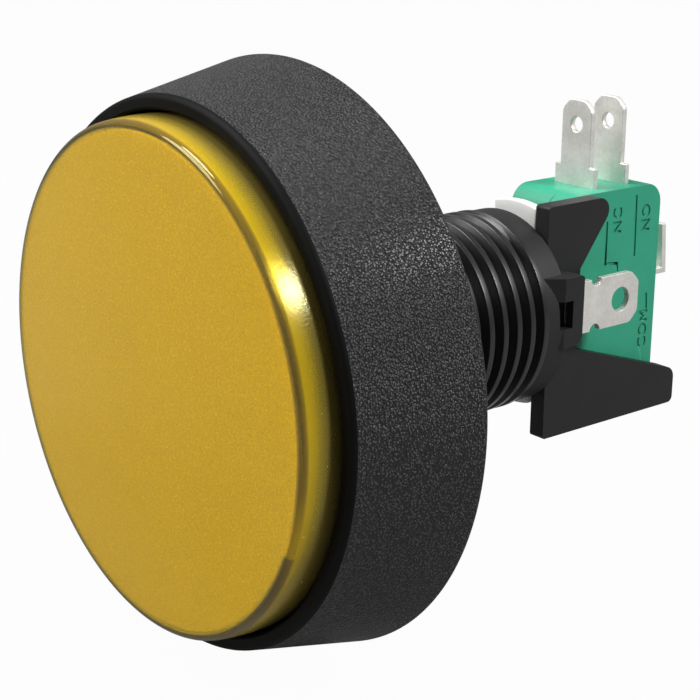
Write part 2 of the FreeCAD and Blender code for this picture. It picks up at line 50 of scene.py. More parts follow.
# Housing: flange, cup and threaded stem. Y runs from the lens through the panel to the switch.
FLANGE_REAR_R = 32.48
FLANGE_FRONT_R = 29.3
FLANGE_DEPTH = 14.4
FRONT_EDGE_ROUND = 0.6
REAR_EDGE_ROUND = 0.5
RIM_DEPTH = 0.68
CUP_MOUTH_BEVEL = 0.25
CUP_R = 27.8
CUP_FLOOR = 2.6
GUIDE_BOSS_R = 11.2
GUIDE_BOSS_FRONT = 5.0
GUIDE_BORE_R = 9.0
GUIDE_BORE_END = 10.0
SOCKET_BORE_R = 9.6
STEM_LENGTH = 28.6
STEM_ROOT_ROUND = 0.4
STEM_ROOT_STEPS = 4
STEM_END_R = 11.79
STEM_END_LAND = 0.55
STEM_END_BEVEL = 0.3
LAND_BEVEL = 0.2
LAND_RAMP = 0.45

# Thread on the stem
THREAD_CREST_R = 11.98
THREAD_ROOT_R = 10.9
THREAD_PITCH = 2.13
THREAD_START = 0.5
THREAD_TURNS = 13.5
RIDGE_BASE = 1.85
RIDGE_CREST = 0.72
RIDGE_ROUND = 0.11
RIDGE_SINK = 0.12
RIDGE_ROUND_STEPS = 5
STEPS_PER_TURN = 150
RUN_IN_RATE = 2.2
RUN_IN_LOW = 0.15
THREAD_TRIM = 0.02
THREAD_SIZES = {
    "Pitch": THREAD_PITCH * MM,
    "Turns": THREAD_TURNS,
    "Start": THREAD_START * MM,
    "Root Radius": THREAD_ROOT_R * MM,
    "Crest Radius": THREAD_CREST_R * MM,
    "Ridge Base": RIDGE_BASE * MM,
    "Ridge Crest": RIDGE_CREST * MM,
    "Ridge Round": RIDGE_ROUND * MM,
}

# Lens cap
LENS_R = 27.45
LENS_FACE_R = 27.1
LENS_FRONT = -18.4
LENS_EDGE_ROUND = 0.7
LENS_EDGE_STEPS = 12
LENS_INNER_R = 26.5
LENS_INNER = -18.05
LENS_SKIRT_END = -8.0
LENS_LIP_R = 26.1
LENS_LIP_START = -11.0
LENS_LIP_END = -10.2
LENS_LIP_RAMP = 0.4

# Diffuser, with a nub on its edge between two angles
DIFFUSER_R = 26.15
DIFFUSER_GAP = 0.02
DIFFUSER_BEVEL = 0.1
DIFFUSER_REAR = -16.6
DIFFUSER_HUB_R = 25.2
DIFFUSER_LIP = 0.4
DIFFUSER_UNDERCUT = 0.3
DIFFUSER_NUB = 0.3
DIFFUSER_NUB_ARC = (-23.0, -4.0)
NUB_BAND = 0.5

# Marked face of the switch: each word with its y and z, each groove as (y, z) points
MARK_FACE_X = 5.15
MARK_DEPTH = 0.14
GROOVE_WIDTH = 0.36
LETTER_SIZE = 2.15
LETTER_WEIGHT = 0.07
LETTER_SPACING = 1.08
LETTER_STEPS = 3
LETTERS = (("NC", 46.75, 9.3), ("NO", 51.95, 9.0), ("COM", 52.55, -5.55))
GROOVES = (
    ((44.87, 9.25), (44.95, 4.12), (47.06, 3.89), (47.13, 3.02)),
    ((49.96, 11.91), (50.15, 4.49)),
    ((52.84, -1.02), (52.99, -2.76)),
)

# Edge roundings of the mouldings and stampings
HOLDER_EDGE = 0.18
SWITCH_EDGE = 0.22
BAR_EDGE = 0.16
TAB_EDGE = 0.1
EDGE_STEPS = 2

# Mesh making: segments round the axis, and the angles at which shading splits
HOUSING_SEGMENTS = 240
LENS_SEGMENTS = 256
DIFFUSER_SEGMENTS = 360
LATHE_SPLIT = 32.0
SOLID_SPLIT = 50.0
THREAD_SPLIT = 40.0
COVER_SPLIT = 30.0
WELD_DISTANCE = 0.0005
FLAT_LIMIT = 0.5
SHARP_EDGE = 28

# Zones of the materials: each fades in between two lengths along y or x, or from the axis
GRAIN_FROM_Y = (-13.8, -13.6)
GRAIN_TO_Y = (-0.5, -0.25)
GRAIN_FROM_R = (29.2, 29.4)
STEM_TO_R = (13.0, 14.0)
LENS_EDGE_FROM_R = (26.3, 26.55)
LENS_WALL_FROM_Y = (-18.0, -17.5)
# Painted shade: the lens wall darkens along y from its front towards the housing
LENS_WALL_SHADE_Y = (-17.9, -14.4)
SUNK_FROM_X = (4.6, 4.9)
SUNK_TO_X = (5.03, 5.12)
NUB_BLUR_RADIANS = 0.008

# Colours, as linear red, green, blue and alpha. A pair holds the two ends of a mottle or a change.
HOUSING_PLAIN = ((0.005, 0.0052, 0.005, 1), (0.009, 0.0092, 0.009, 1))
HOUSING_GRAINED = (0.0085, 0.009, 0.0085, 1)
# Pale flecks of the flange's grain, brightened partly as painted glints
HOUSING_SPECK_AND_GLINT = (0.075, 0.079, 0.0735, 1)
# Painted shade: the flange's front rim in a black darker than the rest of the moulding
RIM_SHADE_BLACKS = ((0.002, 0.002, 0.002, 1), (0.004, 0.004, 0.004, 1))
HOLDER_BLACKS = ((0.0145, 0.0148, 0.0147, 1), (0.021, 0.0213, 0.0212, 1))
AMBER_FACE = ((0.68, 0.5, 0.012, 1), (0.79, 0.6, 0.018, 1))
# Lens wall: painted light, from lit amber at the front to painted shade near the housing
AMBER_SIDE_LIT_TO_SHADE = ((1.0, 0.76, 0.025, 1), (0.26, 0.21, 0.06, 1))
# Painted shade on the lens's rounded front edge
AMBER_EDGE_SHADE = (0.24, 0.19, 0.06, 1)
AMBER_GLOSS = (1.0, 0.93, 0.45, 1)
AMBER_LIGHT = (0.85, 0.75, 0.25, 1)
MILKY_WHITES = ((0.74, 0.7, 0.6, 1), (0.92, 0.9, 0.82, 1))
NATURAL_WHITES = ((0.87, 0.86, 0.83, 1), (0.93, 0.925, 0.9, 1))
SWITCH_GREENS = ((0.02, 0.34, 0.2, 1), (0.036, 0.44, 0.265, 1))
# Painted shade in the recessed marks of the switch
SWITCH_SUNK_SHADE = (0.01, 0.17, 0.11, 1)
TIN_GREYS = ((0.8, 0.78, 0.725, 1), (0.95, 0.93, 0.88, 1))
ALLOY_BROWNS = ((0.5, 0.3, 0.13, 1), (0.78, 0.54, 0.3, 1))
SILVER_GREYS = ((0.7, 0.69, 0.67, 1), (0.9, 0.9, 0.88, 1))
STEEL_GREYS = ((0.4, 0.4, 0.41, 1), (0.66, 0.66, 0.68, 1))
GLASS_CLEAR = (0.97, 0.98, 0.98, 1)
GLASS_LIGHT = (0.95, 0.95, 0.95, 1)

# Camera of the photograph, about the part's origin
CAMERA_AZIMUTH = 51.229
CAMERA_ELEVATION = 17.364
CAMERA_ROLL = 0.423
CAMERA_SHIFT = (6.951, 0.279, 179.472)
CAMERA_FOCAL = 84.19
SENSOR_WIDTH = 36.0
CAMERA_NEAR = 5.0

# Studio: shares of white that straight and glancing rays see, and lamps in metres and watts
FLOOR_Z = -32.5
FLOOR_HALF_M = 4.0
FLOOR_GREY = 0.3
FLOOR_WHITE = 0.97
FLOOR_GLANCE = 0.05
WORLD_LEVEL = 0.11
WORLD_GLANCE = 0.2
LAMPS = (
    ("key_box", (0.6, 0.38, 0.6), (0, 0.01, 0), 0.19, 6.2),
    ("fill_box", (-0.32, -0.42, 0.42), (0, 0.0, 0), 0.36, 3.2),
    ("top_box", (-0.28, -0.14, 0.82), (0, 0.01, 0), 0.34, 5.0),
)


class Sock:
    """A socket that takes part in Python expressions on values."""

    def __init__(self, paint, socket):
        self.paint = paint
        self.socket = socket

    def math(self, operation, *values):
        settings = {"operation": operation}
        return self.paint.node("ShaderNodeMath", settings, dict(enumerate(values)))

    def __add__(self, other):
        return self.math("ADD", self, other)

    def __radd__(self, other):
        return self.math("ADD", other, self)

    def __sub__(self, other):
        return self.math("SUBTRACT", self, other)

    def __rsub__(self, other):
        return self.math("SUBTRACT", other, self)

    def __mul__(self, other):
        return self.math("MULTIPLY", self, other)

    def __rmul__(self, other):
        return self.math("MULTIPLY", other, self)

    def most(self, other):
        return self.math("MAXIMUM", self, other)

    def least(self, other):
        return self.math("MINIMUM", self, other)

    def root(self):
        return self.math("SQRT", self)

    def angle(self, across):
        """The angle, in radians, whose rise is this value and whose run is another."""
        return self.math("ARCTAN2", self, across)


class Paint:
    """A node tree that is being made, of a material, the world or geometry."""

    def __init__(self, tree):
        self.tree = tree
        self.tree.nodes.clear()

    def node(self, kind, settings=None, sockets=None, out=0):
        """A node of any kind: its settings first, then its sockets, then the output wanted."""
        made = self.tree.nodes.new(kind)
        for name, value in (settings or {}).items():
            setattr(made, name, value)
        for name, value in (sockets or {}).items():
            socket = made.inputs[name]
            if isinstance(value, Sock):
                self.tree.links.new(value.socket, socket)
            else:
                socket.default_value = value
        return Sock(self, made.outputs[out])

    def place(self):
        return self.node("ShaderNodeTexCoord", out="Object")

    def xyz(self, place):
        return [self.node("ShaderNodeSeparateXYZ", sockets={0: place}, out=i) for i in range(3)]

    def step(self, value, low, high):
        """0 below low, 1 above high and smooth between."""
        settings = {"interpolation_type": "SMOOTHSTEP"}
        sockets = {"Value": value, "From Min": low, "From Max": high}
        return self.node("ShaderNodeMapRange", settings, sockets)

    def past(self, length, zone):
        """A step between the two lengths of a zone in millimetres."""
        return self.step(length, zone[0] * MM, zone[1] * MM)

    def noise(self, place, scale, detail=2.0, rough=0.5):
        sockets = {"Vector": place, "Scale": scale, "Detail": detail, "Roughness": rough}
        return self.node("ShaderNodeTexNoise", {}, sockets, "Fac")

    def cells(self, place, scale):
        sockets = {"Vector": place, "Scale": scale}
        return self.node("ShaderNodeTexVoronoi", {"feature": "F1"}, sockets, "Distance")

    def mix(self, a, b, factor):
        """Colour a to colour b by a factor."""
        sockets = {"Factor": factor, 6: a, 7: b}
        return self.node("ShaderNodeMix", {"data_type": "RGBA"}, sockets, 2)

    def bump(self, height, depth, strength=1.0):
        """A normal from a height, for a relief of a depth in millimetres."""
        sockets = {"Height": height, "Distance": depth * MM, "Strength": strength}
        return self.node("ShaderNodeBump", {}, sockets)

    def principled(self, **sockets):
        named = {name.replace("_", " "): value for name, value in sockets.items()}
        return self.node("ShaderNodeBsdfPrincipled", {}, named)

    def lets_light_through(self, body, tint):
        """The body, but a tinted clear pane for lamp light on its way to what lies behind."""
        pane = self.node("ShaderNodeBsdfTransparent", {}, {"Color": tint})
        lamp_ray = self.node("ShaderNodeLightPath", out="Is Shadow Ray")
        return self.node("ShaderNodeMixShader", {}, {0: lamp_ray, 1: body, 2: pane})

    def seen(self):
        """Rays that look at the background straight, and those by way of metal and glass."""
        names = ("Is Camera Ray", "Is Glossy Ray", "Is Transmission Ray")
        straight, glossy, through = (self.node("ShaderNodeLightPath", out=n) for n in names)
        return straight, glossy.most(through)

    def show(self, shader, output="ShaderNodeOutputMaterial"):
        made = self.tree.nodes.new(output)
        self.tree.links.new(shader.socket, made.inputs["Surface"])


def new_material(name):
    material = bpy.data.materials.new(name)
    material.use_nodes = True
    return material, Paint(material.node_tree)


def grey(value):
    return (value, value, value, 1.0)


def housing_black():
    """Black moulded plastic: spark-eroded grain on the flange's wall, smooth glossier stem. Pale
    flecks of the grain are brightened in colour, partly as painted glints.
    """
    material, p = new_material("housing_black")
    place = p.place()
    x, y, z = p.xyz(place)
    radius = (x * x + z * z).root()
    between = p.past(y, GRAIN_FROM_Y) * (1 - p.past(y, GRAIN_TO_Y))
    wall = p.past(radius, GRAIN_FROM_R) * between
    stem = 1 - p.past(radius, STEM_TO_R)
    pits = p.cells(place, 3900.0)
    # Pale flecks of the grain on the flange's wall, brightened in colour partly as painted glints
    specks_and_glints = (1 - p.step(pits, 0.14, 0.46)) * wall
    grain = p.noise(place, 3600.0, 2.0, 0.65)
    cloud = p.noise(place, 90.0, 3.0)
    ground = p.mix(p.mix(*HOUSING_PLAIN, cloud), HOUSING_GRAINED, wall)
    p.show(p.principled(
        Base_Color=p.mix(ground, HOUSING_SPECK_AND_GLINT, specks_and_glints),
        Roughness=0.28 + wall * 0.1 + cloud * 0.06,
        Specular_IOR_Level=0.4,
        Coat_Weight=stem * 0.5 + specks_and_glints * 0.55,
        Coat_Roughness=0.32,
        Normal=p.bump((grain * 0.8 - pits * 1.2) * wall, 0.12),
    ))
    return material


def rim_shade_black():
    """Plain front of the flange, in a black darker than the rest of the moulding as painted shade.
    """
    material, p = new_material("rim_shade_black")
    place = p.place()
    fine = p.noise(place, 3000.0, 2.0)
    cloud = p.noise(place, 120.0, 3.0)
    p.show(p.principled(
        # Painted shade: a black darker than the housing's elsewhere
        Base_Color=p.mix(*RIM_SHADE_BLACKS, cloud),
        Roughness=0.5 + fine * 0.15,
        Specular_IOR_Level=0.1,
        Normal=p.bump(fine, 0.015, 0.5),
    ))
    return material


def holder_black():
    """Satin black moulding with a fine even grain."""
    material, p = new_material("holder_black")
    place = p.place()
    grain = p.noise(place, 5200.0, 2.0, 0.6)
    cloud = p.noise(place, 140.0, 3.0)
    p.show(p.principled(
        Base_Color=p.mix(*HOLDER_BLACKS, cloud),
        Roughness=0.48 + grain * 0.1,
        Specular_IOR_Level=0.3,
        Normal=p.bump(grain, 0.02, 0.6),
    ))
    return material


def amber_clear():
    """Clear amber plastic with a slight haze. Painted shade darkens its rounded edge, and its wall
    goes from painted lit amber at the front to painted shade near the housing.
    """
    material, p = new_material("amber_clear")
    place = p.place()
    x, y, z = p.xyz(place)
    radius = (x * x + z * z).root()
    outer = p.past(radius, LENS_EDGE_FROM_R)
    wall = p.past(y, LENS_WALL_FROM_Y) * outer
    # Painted light down the lens wall: lit at the front, painted shade towards the housing
    wall_shade = p.past(y, LENS_WALL_SHADE_Y)
    low, high = (math.radians(a) for a in DIFFUSER_NUB_ARC)
    angle = z.angle(x)
    nub = (1 - p.step(angle, low, high)) * p.step(angle, low - NUB_BLUR_RADIANS, low)
    # Painted shade on the lens's rounded front edge, left out over the diffuser's nub
    edge = outer * (1 - wall) * (1 - nub)
    smear = p.noise(place, 60.0, 4.0)
    dust = p.step(p.noise(place, 2400.0, 1.0), 0.68, 0.8)
    grain = p.noise(place, 3600.0, 2.0, 0.6)
    frost = p.step(p.noise(place, 3100.0, 2.0, 0.6), 0.34, 0.66)
    face = p.mix(*AMBER_FACE, frost * 0.8 + smear * 0.2)
    side = p.mix(*AMBER_SIDE_LIT_TO_SHADE, wall_shade)
    body = p.principled(
        Base_Color=p.mix(p.mix(face, side, wall), AMBER_EDGE_SHADE, edge),
        Roughness=0.04 + smear * 0.03 + dust * 0.08 + wall * 0.14,
        IOR=1.49,
        Transmission_Weight=0.68,
        Specular_Tint=AMBER_GLOSS,
        Normal=p.bump(grain * wall, 0.03, 0.5),
    )
    p.show(p.lets_light_through(body, AMBER_LIGHT))
    return material


def diffuser_milky():
    """Milky disc with a fine frosted speckle."""
    material, p = new_material("diffuser_milky")
    place = p.place()
    speckle = p.noise(place, 3200.0, 2.0, 0.6)
    cloud = p.noise(place, 45.0, 3.0)
    frost = p.step(speckle + cloud * 0.3, 0.4, 0.8)
    p.show(p.principled(
        Base_Color=p.mix(*MILKY_WHITES, frost),
        Roughness=0.55,
        Normal=p.bump(speckle, 0.03, 0.5),
    ))
    return material


def natural_white():
    """Unpainted white moulding."""
    material, p = new_material("natural_white")
    place = p.place()
    cloud = p.noise(place, 180.0, 3.0)
    fine = p.noise(place, 3000.0)
    p.show(p.principled(
        Base_Color=p.mix(*NATURAL_WHITES, cloud),
        Roughness=0.38 + cloud * 0.08,
        Subsurface_Weight=0.5,
        Subsurface_Scale=0.003,
        Subsurface_Radius=(1.0, 0.96, 0.88),
        Normal=p.bump(fine, 0.012, 0.5),
    ))
    return material


def switch_green():
    """Green switch moulding, satin, with a faint mottle and painted shade darkening its recessed
    marks.
    """
    material, p = new_material("switch_green")
    place = p.place()
    x = p.xyz(place)[0]
    cloud = p.noise(place, 260.0, 4.0, 0.6)
    fine = p.noise(place, 3600.0, 2.0)
    mottle = p.mix(*SWITCH_GREENS, cloud)
    # Painted shade: darker colour at the depth of the recessed marks
    sunk_shade = p.past(x, SUNK_FROM_X) * (1 - p.past(x, SUNK_TO_X))
    p.show(p.principled(
        Base_Color=p.mix(mottle, SWITCH_SUNK_SHADE, sunk_shade * 0.3),
        Roughness=0.4 + fine * 0.1,
        Normal=p.bump(fine + cloud * 0.6, 0.02, 0.6),
    ))
    return material


def tinned_tab():
    """Tin-plated sheet: fine speckle and a duller bloom."""
    material, p = new_material("tinned_tab")
    place = p.place()
    speckle = p.noise(place, 2200.0, 3.0, 0.6)
    bloom = p.noise(place, 420.0, 3.0)
    patches = p.step(speckle * 0.5 + bloom * 0.6, 0.36, 0.74)
    p.show(p.principled(
        Base_Color=p.mix(*TIN_GREYS, patches),
        Metallic=0.55,
        Roughness=0.34 + bloom * 0.2,
        Normal=p.bump(speckle, 0.006, 0.4),
    ))
    return material


def bare_metal(name, tones, rough, scale):
    """Bare metal with drawn marks."""
    material, p = new_material(name)
    stretch = {"Vector": p.place(), "Scale": (1.0, 1.0, 0.08)}
    streak = p.noise(p.node("ShaderNodeMapping", {}, stretch), scale, 3.0)
    p.show(p.principled(
        Base_Color=p.mix(*tones, streak),
        Metallic=1.0,
        Roughness=rough + streak * 0.12,
        Normal=p.bump(streak, 0.008, 0.4),
    ))
    return material


def lamp_glass():
    """Thin clear lamp glass."""
    material, p = new_material("lamp_glass")
    wave = p.noise(p.place(), 160.0, 2.0)
    body = p.principled(
        Base_Color=GLASS_CLEAR,
        Roughness=0.02 + wave * 0.03,
        IOR=1.5,
        Transmission_Weight=1.0,
    )
    p.show(p.lets_light_through(body, GLASS_LIGHT))
    return material


def new_piece(name, mesh, material):
    piece = bpy.data.objects.new(name, mesh)
    bpy.context.scene.collection.objects.link(piece)
    mesh.materials.clear()
    mesh.materials.append(material)
    return piece


def finish_mesh(piece, split):
    """Smooth shading that keeps edges sharper than an angle."""
    piece.data.shade_smooth()
    piece.data.set_sharp_from_angle(angle=math.radians(split))
    return piece


def mesh_of(bm, name):
    """A mesh from a bmesh, which is freed."""
    mesh = bpy.data.meshes.new(name)
    bm.to_mesh(mesh)
    bm.free()
    return mesh


def lathe(name, profile, segments, material):
    """A closed profile of (radius, y) corners turned about the axis. Radius 0 is a pole."""
    bm = bmesh.new()
    rings = []
    for r, y in profile:
        if r == 0:
            rings.append([bm.verts.new((0, y * MM, 0))])
            continue
        ring = []
        for i in range(segments):
            a = 2 * math.pi * i / segments
            ring.append(bm.verts.new((r * MM * math.sin(a), y * MM, r * MM * math.cos(a))))
        rings.append(ring)
    for a, b in zip(rings, rings[1:] + rings[:1]):
        if len(a) == 1 and len(b) == 1:
            continue
        for i in range(segments):
            j = (i + 1) % segments
            corners = [a[i % len(a)], a[j % len(a)], b[j % len(b)], b[i % len(b)]]
            bm.faces.new(list(dict.fromkeys(corners)))
    bmesh.ops.recalc_face_normals(bm, faces=bm.faces)
    return finish_mesh(new_piece(name, mesh_of(bm, name), material), LATHE_SPLIT)


def applied(piece):
    """The piece with its modifiers worked into a plain mesh."""
    graph = bpy.context.evaluated_depsgraph_get()
    mesh = bpy.data.meshes.new_from_object(piece.evaluated_get(graph), depsgraph=graph)
    piece.modifiers.clear()
    old = piece.data
    piece.data = mesh
    bpy.data.meshes.remove(old)
    return piece


def weighted(piece):
    """Normals led by the large faces, so that flats stay flat beside their rounded edges."""
    modifier = piece.modifiers.new("flats", "WEIGHTED_NORMAL")
    modifier.keep_sharp = True
    return applied(piece)


def softened(node, name, material, edge):
    """A copy of a solid with its sharp edges rounded, as a moulding or a stamping has them."""
    bm = bmesh.new()
    bm.from_mesh(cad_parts[node].data)
    bmesh.ops.remove_doubles(bm, verts=bm.verts, dist=WELD_DISTANCE * MM)
    flat = math.radians(FLAT_LIMIT)
    bmesh.ops.dissolve_limit(bm, angle_limit=flat, verts=bm.verts, edges=bm.edges)
    limit = math.radians(SHARP_EDGE)
    sharp = [e for e in bm.edges if e.is_manifold and e.calc_face_angle(0) > limit]
    bmesh.ops.bevel(
        bm, geom=sharp, offset=edge * MM, offset_type="OFFSET", segments=EDGE_STEPS,
        profile=0.5, affect="EDGES", clamp_overlap=True,
    )
    return finish_mesh(new_piece(name, mesh_of(bm, name), material), SOLID_SPLIT)


def fillet(corner, before, after, radius, steps=8):
    """Points that round one corner of a (radius, y) profile."""
    c = Vector(corner)
    a = (Vector(before) - c).normalized()
    b = (Vector(after) - c).normalized()
    half = a.angle(b) / 2
    reach = radius / math.tan(half)
    centre = c + (a + b).normalized() * (radius / math.sin(half))
    start = c + a * reach - centre
    stop = c + b * reach - centre
    turn = start.angle_signed(stop)
    points = []
    for i in range(steps + 1):
        spoke = start.copy()
        spoke.rotate(Matrix.Rotation(-turn * i / steps, 2))
        points.append(tuple(centre + spoke))
    return points


def rim_corner():
    """Where the flange's wall meets the back of its rim."""
    slope = (FLANGE_REAR_R - FLANGE_FRONT_R) * RIM_DEPTH / FLANGE_DEPTH
    return (FLANGE_FRONT_R + slope, RIM_DEPTH - FLANGE_DEPTH)


def make_rim(material):
    front = -FLANGE_DEPTH
    corner = (FLANGE_FRONT_R, front)
    profile = [(CUP_R, RIM_DEPTH - FLANGE_DEPTH), (CUP_R, front + CUP_MOUTH_BEVEL)]
    profile += [(CUP_R + CUP_MOUTH_BEVEL, front)]
    profile += fillet(corner, (CUP_R, front), rim_corner(), FRONT_EDGE_ROUND)
    profile += [rim_corner()]
    return lathe("housing_rim", profile, HOUSING_SEGMENTS, material)


def make_housing(material):
    rim = (FLANGE_FRONT_R, -FLANGE_DEPTH)
    rear = (FLANGE_REAR_R, 0.0)
    root = (THREAD_ROOT_R, 0.0)
    along_stem = (THREAD_ROOT_R, STEM_LENGTH)
    land = STEM_LENGTH - STEM_END_LAND
    profile = [(GUIDE_BORE_R, -GUIDE_BOSS_FRONT), (GUIDE_BOSS_R, -GUIDE_BOSS_FRONT)]
    profile += [(GUIDE_BOSS_R, -CUP_FLOOR), (CUP_R, -CUP_FLOOR)]
    profile += [(CUP_R, RIM_DEPTH - FLANGE_DEPTH), rim_corner()]
    profile += fillet(rear, rim, root, REAR_EDGE_ROUND)
    profile += fillet(root, rear, along_stem, STEM_ROOT_ROUND, STEM_ROOT_STEPS)
    profile += [(THREAD_ROOT_R, land - LAND_RAMP), (STEM_END_R - LAND_BEVEL, land)]
    profile += [(STEM_END_R, land + LAND_BEVEL), (STEM_END_R, STEM_LENGTH - STEM_END_BEVEL)]
    profile += [(STEM_END_R - STEM_END_BEVEL, STEM_LENGTH), (SOCKET_BORE_R, STEM_LENGTH)]
    profile += [(SOCKET_BORE_R, GUIDE_BORE_END), (GUIDE_BORE_R, GUIDE_BORE_END)]
    return lathe("housing_moulding", profile, HOUSING_SEGMENTS, material)


def thread_tree():
    """Geometry nodes: a rounded ridge swept along a helix, fading in at its start."""
    tree = bpy.data.node_groups.new("stem_thread", "GeometryNodeTree")
    tree.interface.new_socket("Geometry", in_out="INPUT", socket_type="NodeSocketGeometry")
    for name in THREAD_SIZES:
        tree.interface.new_socket(name, in_out="INPUT", socket_type="NodeSocketFloat")
    tree.interface.new_socket("Material", in_out="INPUT", socket_type="NodeSocketMaterial")
    tree.interface.new_socket("Geometry", in_out="OUTPUT", socket_type="NodeSocketGeometry")
    g = Paint(tree)
    given = tree.nodes.new("NodeGroupInput")
    size = {s.name: Sock(g, s) for s in given.outputs if s.name}
    foot = size["Root Radius"] - RIDGE_SINK * MM
    rise = size["Crest Radius"] - foot
    middle = foot + rise * 0.5
    helix = g.node("GeometryNodeCurveSpiral", {}, {
        "Resolution": STEPS_PER_TURN, "Rotations": size["Turns"],
        "Start Radius": middle, "End Radius": middle,
        "Height": size["Pitch"] * size["Turns"],
    })
    helix = g.node("GeometryNodeSetCurveNormal", {"mode": "Z_UP"}, {"Curve": helix})
    along = g.node("GeometryNodeSplineParameter", out="Factor")
    run_in = (along * size["Turns"] * RUN_IN_RATE).least(1.0)
    fade = run_in * (1 - RUN_IN_LOW) + RUN_IN_LOW
    ridge = g.node("GeometryNodeCurvePrimitiveQuadrilateral", {"mode": "TRAPEZOID"}, {
        "Height": rise, "Bottom Width": size["Ridge Base"], "Top Width": size["Ridge Crest"],
        "Offset": 0.0,
    })
    ridge = g.node("GeometryNodeFilletCurve", {"mode": "POLY"}, {
        "Curve": ridge, "Radius": size["Ridge Round"], "Count": RIDGE_ROUND_STEPS,
    })
    quarter = math.pi / 2
    ridge = g.node("GeometryNodeTransform", {}, {
        "Geometry": ridge, "Rotation": (0, 0, quarter),
    })
    swept = g.node("GeometryNodeCurveToMesh", {}, {
        "Curve": helix, "Profile Curve": ridge, "Scale": fade, "Fill Caps": True,
    })
    start = g.node("ShaderNodeCombineXYZ", {}, {"Y": size["Start"]})
    turned = g.node("GeometryNodeTransform", {}, {
        "Geometry": swept, "Translation": start, "Rotation": (-quarter, 0, 0),
    })
    plain = g.node("GeometryNodeRealizeInstances", {}, {"Geometry": turned})
    painted = g.node("GeometryNodeSetMaterial", {}, {
        "Geometry": plain, "Material": size["Material"],
    })
    out = tree.nodes.new("NodeGroupOutput")
    tree.links.new(painted.socket, out.inputs["Geometry"])
    return tree


def make_thread(material):
    piece = new_piece("stem_thread", bpy.data.meshes.new("stem_thread"), material)
    modifier = piece.modifiers.new("stem_thread", "NODES")
    modifier.node_group = thread_tree()
    given = {**THREAD_SIZES, "Material": material}
    for item in modifier.node_group.interface.items_tree:
        if item.in_out == "INPUT" and item.name in given:
            modifier[item.identifier] = given[item.name]
    applied(piece)
    trim_end(piece.data, STEM_LENGTH - THREAD_TRIM)
    return weighted(finish_mesh(piece, THREAD_SPLIT))


def trim_end(mesh, y):
    """Cuts a mesh off square at a station along the axis and closes the cut."""
    bm = bmesh.new()
    bm.from_mesh(mesh)
    everything = bm.verts[:] + bm.edges[:] + bm.faces[:]
    bmesh.ops.bisect_plane(
        bm, geom=everything, plane_co=(0, y * MM, 0), plane_no=(0, 1, 0), clear_outer=True,
    )
    rims = [e for e in bm.edges if e.is_boundary]
    bmesh.ops.holes_fill(bm, edges=rims, sides=0)
    bmesh.ops.recalc_face_normals(bm, faces=bm.faces)
    bm.to_mesh(mesh)
    bm.free()


def barrel(r0, y0, r1, y1, steps=10):
    """Points of a gently bulged wall that ends along the axis."""
    rise = r1 - r0
    run = y1 - y0
    radius = (rise * rise + run * run) / (2 * rise)
    points = []
    for i in range(steps + 1):
        back = run * (1 - i / steps)
        points.append((r1 - radius + math.sqrt(radius * radius - back * back), y1 - back))
    return points


def make_lens(material):
    corner = (LENS_FACE_R, LENS_FRONT)
    wall = barrel(LENS_FACE_R, LENS_FRONT, LENS_R, -FLANGE_DEPTH)
    profile = [(0, LENS_FRONT)]
    profile += fillet(corner, (0, LENS_FRONT), wall[1], LENS_EDGE_ROUND, LENS_EDGE_STEPS)
    profile += wall[2:] + [(LENS_R, LENS_SKIRT_END), (LENS_INNER_R, LENS_SKIRT_END)]
    profile += [(LENS_INNER_R, LENS_LIP_END + LENS_LIP_RAMP), (LENS_LIP_R, LENS_LIP_END)]
    profile += [(LENS_LIP_R, LENS_LIP_START), (LENS_INNER_R, LENS_LIP_START)]
    profile += [(LENS_INNER_R, LENS_INNER), (0, LENS_INNER)]
    return lathe("lens_cap_clear", profile, LENS_SEGMENTS, material)


def make_diffuser(material):
    """Disc behind the lens, with a low nub on its edge that rises slowly and ends square."""
    front = LENS_INNER + DIFFUSER_GAP
    lip = LENS_INNER + DIFFUSER_LIP
    profile = [(0, front), (DIFFUSER_R - DIFFUSER_BEVEL, front)]
    profile += [(DIFFUSER_R, front + DIFFUSER_BEVEL), (DIFFUSER_R, lip)]
    profile += [(DIFFUSER_HUB_R, lip + DIFFUSER_UNDERCUT), (DIFFUSER_HUB_R, DIFFUSER_REAR)]
    profile += [(0, DIFFUSER_REAR)]
    disc = lathe("diffuser_disc", profile, DIFFUSER_SEGMENTS, material)
    low, high = DIFFUSER_NUB_ARC
    for vertex in disc.data.vertices:
        x, y, z = vertex.co
        angle = math.degrees(math.atan2(z, x))
        if math.hypot(x, z) > (DIFFUSER_R - NUB_BAND) * MM and low <= angle <= high:
            grow = 1 + DIFFUSER_NUB * (high - angle) / (high - low) / DIFFUSER_R
            vertex.co = (x * grow, y, z * grow)
    return disc


def letter_cutter(text, y, z):
    """A word as a solid that sinks into the marked face, reading upwards."""
    curve = bpy.data.curves.new("mark", "FONT")
    curve.body = text
    curve.size = LETTER_SIZE * MM
    curve.align_x = "CENTER"
    curve.align_y = "CENTER"
    curve.space_character = LETTER_SPACING
    curve.offset = LETTER_WEIGHT * MM
    curve.resolution_u = LETTER_STEPS
    curve.extrude = MARK_DEPTH * MM
    holder = bpy.data.objects.new("mark", curve)
    bpy.context.scene.collection.objects.link(holder)
    graph = bpy.context.evaluated_depsgraph_get()
    mesh = bpy.data.meshes.new_from_object(holder.evaluated_get(graph), depsgraph=graph)
    bpy.data.objects.remove(holder)
    mesh.transform(Matrix((
        (0, 0, 1, MARK_FACE_X * MM),
        (0, -1, 0, y * MM),
        (1, 0, 0, z * MM),
        (0, 0, 0, 1),
    )))
    return mesh


